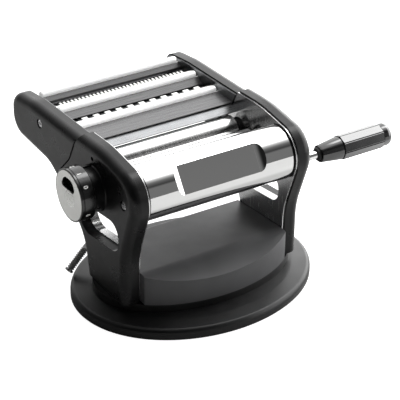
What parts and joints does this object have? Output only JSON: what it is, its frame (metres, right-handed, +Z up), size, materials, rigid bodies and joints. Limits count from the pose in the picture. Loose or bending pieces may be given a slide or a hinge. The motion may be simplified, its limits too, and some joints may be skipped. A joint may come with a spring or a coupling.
{
  "type": "pasta machine",
  "caption": "Hand cranked pasta machine on an oval suction base, with a thickness dial, smooth rollers and a slide-on cutter unit for fine and wide strips.",
  "frame": {"origin": "middle of the oval base, on the plane that it stands on", "axes": "+X towards the crank, along the rollers; -Y towards the front, where the sheet comes out; +Z up"},
  "size_m": [0.3457, 0.2908, 0.1726],
  "materials": {
    "black_cover": "satin black moulded plastic with fine grain",
    "black_base": "smooth semi-gloss black plastic",
    "chrome": "mirror polished chrome",
    "plate_steel": "bright cold rolled steel, brushed lightly",
    "guide_steel": "dark satin steel",
    "guide_chrome": "satin chromed sheet, in shade between its bars",
    "roller_steel": "fine turned and polished",
    "cutter_steel": "turned steel discs, in shade",
    "white_plastic": "white moulded plastic",
    "gear_plastic": "ivory moulded gear plastic",
    "bearing": "black self-lubricating bearing plastic",
    "dial_black": "matte black, white numbers",
    "dial_silver": "light satin metal",
    "screw_steel": "zinc plated",
    "housing_grey": "dark grey satin paint",
    "rubber": "soft black rubber",
    "lever_grey": "grey ribbed rubber",
    "grip_black": "polished black plastic",
    "spring_steel": "bright spring wire"
  },
  "bodies": {
    "frame": {"base_shell": "black_base", "foot_pad": "rubber", "suction_cup": "rubber", "mechanism_housing": "housing_grey", "stem_guide": "bearing", "left_cover": "black_cover", "right_cover": "black_cover", "left_side_plate": "plate_steel", "right_side_plate": "plate_steel", "front_guard": "chrome", "guard_end_caps": "bearing", "tie_rods": "screw_steel", "left_rod_screws": "screw_steel", "right_rod_nuts": "chrome", "foot_screws": "screw_steel", "back_roller_bushes": "bearing", "back_scraper": "plate_steel", "feed_guide": "guide_steel"},
    "lever": {"suction_lever": "plate_steel", "lever_sleeve": "lever_grey", "cam_shaft": "screw_steel"},
    "lifter": {"lift_plate": "plate_steel", "cup_stem": "screw_steel"},
    "drive_roller": {"back_roller": "roller_steel", "back_roller_gear": "gear_plastic"},
    "carriage": {"left_bearing_block": "bearing", "right_bearing_block": "bearing", "front_scraper": "plate_steel"},
    "gap_roller": {"front_roller": "roller_steel", "front_roller_gear": "gear_plastic"},
    "dial_axle": {"dial_shaft": "screw_steel", "dial_washer": "screw_steel", "dial_spring": "spring_steel"},
    "dial": {"dial_knob": "dial_black", "dial_face": "dial_silver", "detent_pin": "screw_steel"},
    "crank": {"crank_rod": "chrome", "grip_collar": "bearing"},
    "grip": {"crank_grip": "grip_black"},
    "cutter_unit": {"left_cutter_cover": "black_cover", "right_cutter_cover": "black_cover", "left_cutter_plate": "guide_steel", "right_cutter_plate": "guide_steel", "cutter_tie_rods": "screw_steel", "cutter_screws": "screw_steel", "cutter_bushes": "bearing", "back_guide": "guide_chrome", "middle_guide": "guide_chrome", "front_guide": "guide_chrome", "fine_comb": "white_plastic", "wide_comb": "white_plastic"},
    "fine_front": {"fine_cutter_front": "cutter_steel", "fine_gear_front": "gear_plastic"},
    "fine_back": {"fine_cutter_back": "cutter_steel", "fine_gear_back": "gear_plastic"},
    "wide_front": {"wide_cutter_front": "cutter_steel", "wide_gear_front": "gear_plastic"},
    "wide_back": {"wide_cutter_back": "cutter_steel", "wide_gear_back": "gear_plastic"}
  },
  "joints": [
    {"name": "crank_turn", "type": "hinge", "parent": "frame", "child": "drive_roller", "pos_m": [0, 0.0475, 0.129], "axis": [1, 0, 0], "continuous": true},
    {"name": "crank_pull", "type": "slide", "parent": "drive_roller", "child": "crank", "axis": [1, 0, 0], "range_m": [0, 0.03]},
    {"name": "grip_spin", "type": "hinge", "parent": "crank", "child": "grip", "pos_m": [0.15, -0.026, 0.12], "axis": [1, 0, 0], "continuous": true},
    {"name": "dial_turn", "type": "hinge", "parent": "frame", "child": "dial_axle", "pos_m": [-0.11, 0.0155, 0.129], "axis": [1, 0, 0], "range_deg": [-65.5, 229]},
    {"name": "dial_pull", "type": "slide", "parent": "dial_axle", "child": "dial", "axis": [-1, 0, 0], "range_m": [0, 0.0025], "stiffness_N_per_m": 800, "deforming": ["dial_spring"]},
    {"name": "gap_slide", "type": "slide", "parent": "frame", "child": "carriage", "axis": [0, 1, 0], "range_m": [-0.0006, 0.0021]},
    {"name": "gap_roller_spin", "type": "hinge", "parent": "carriage", "child": "gap_roller", "pos_m": [0, 0.0151, 0.129], "axis": [1, 0, 0], "continuous": true},
    {"name": "suction_lever_turn", "type": "hinge", "parent": "frame", "child": "lever", "pos_m": [-0.07, 0.057, 0.033], "axis": [0, 1, 0], "range_deg": [0, 70]},
    {"name": "cup_lift", "type": "slide", "parent": "frame", "child": "lifter", "axis": [0, 0, 1], "range_m": [-0.0041, 0], "deforming": ["suction_cup"]},
    {"name": "cutter_unit_slide", "type": "slide", "parent": "frame", "child": "cutter_unit", "axis": [0, 0.9063, 0.4226], "range_m": [0, 0.05]},
    {"name": "fine_front_spin", "type": "hinge", "parent": "cutter_unit", "child": "fine_front", "pos_m": [0, 0.1375, 0.138], "axis": [1, 0, 0], "continuous": true},
    {"name": "fine_back_spin", "type": "hinge", "parent": "cutter_unit", "child": "fine_back", "pos_m": [0, 0.1545, 0.138], "axis": [1, 0, 0], "continuous": true},
    {"name": "wide_front_spin", "type": "hinge", "parent": "cutter_unit", "child": "wide_front", "pos_m": [0, 0.0985, 0.138], "axis": [1, 0, 0], "continuous": true},
    {"name": "wide_back_spin", "type": "hinge", "parent": "cutter_unit", "child": "wide_back", "pos_m": [0, 0.1155, 0.138], "axis": [1, 0, 0], "continuous": true}
  ],
  "couplings": [
    {"joint": "gap_roller_spin", "follows": "crank_turn", "ratio": -1},
    {"joint": "dial_turn", "follows": "gap_slide", "rad_per_m": 1902.4},
    {"joint": "cup_lift", "follows": "suction_lever_turn", "m_per_rad": -0.003274},
    {"joint": "fine_back_spin", "follows": "fine_front_spin", "ratio": -1},
    {"joint": "wide_back_spin", "follows": "wide_front_spin", "ratio": -1}
  ]
}
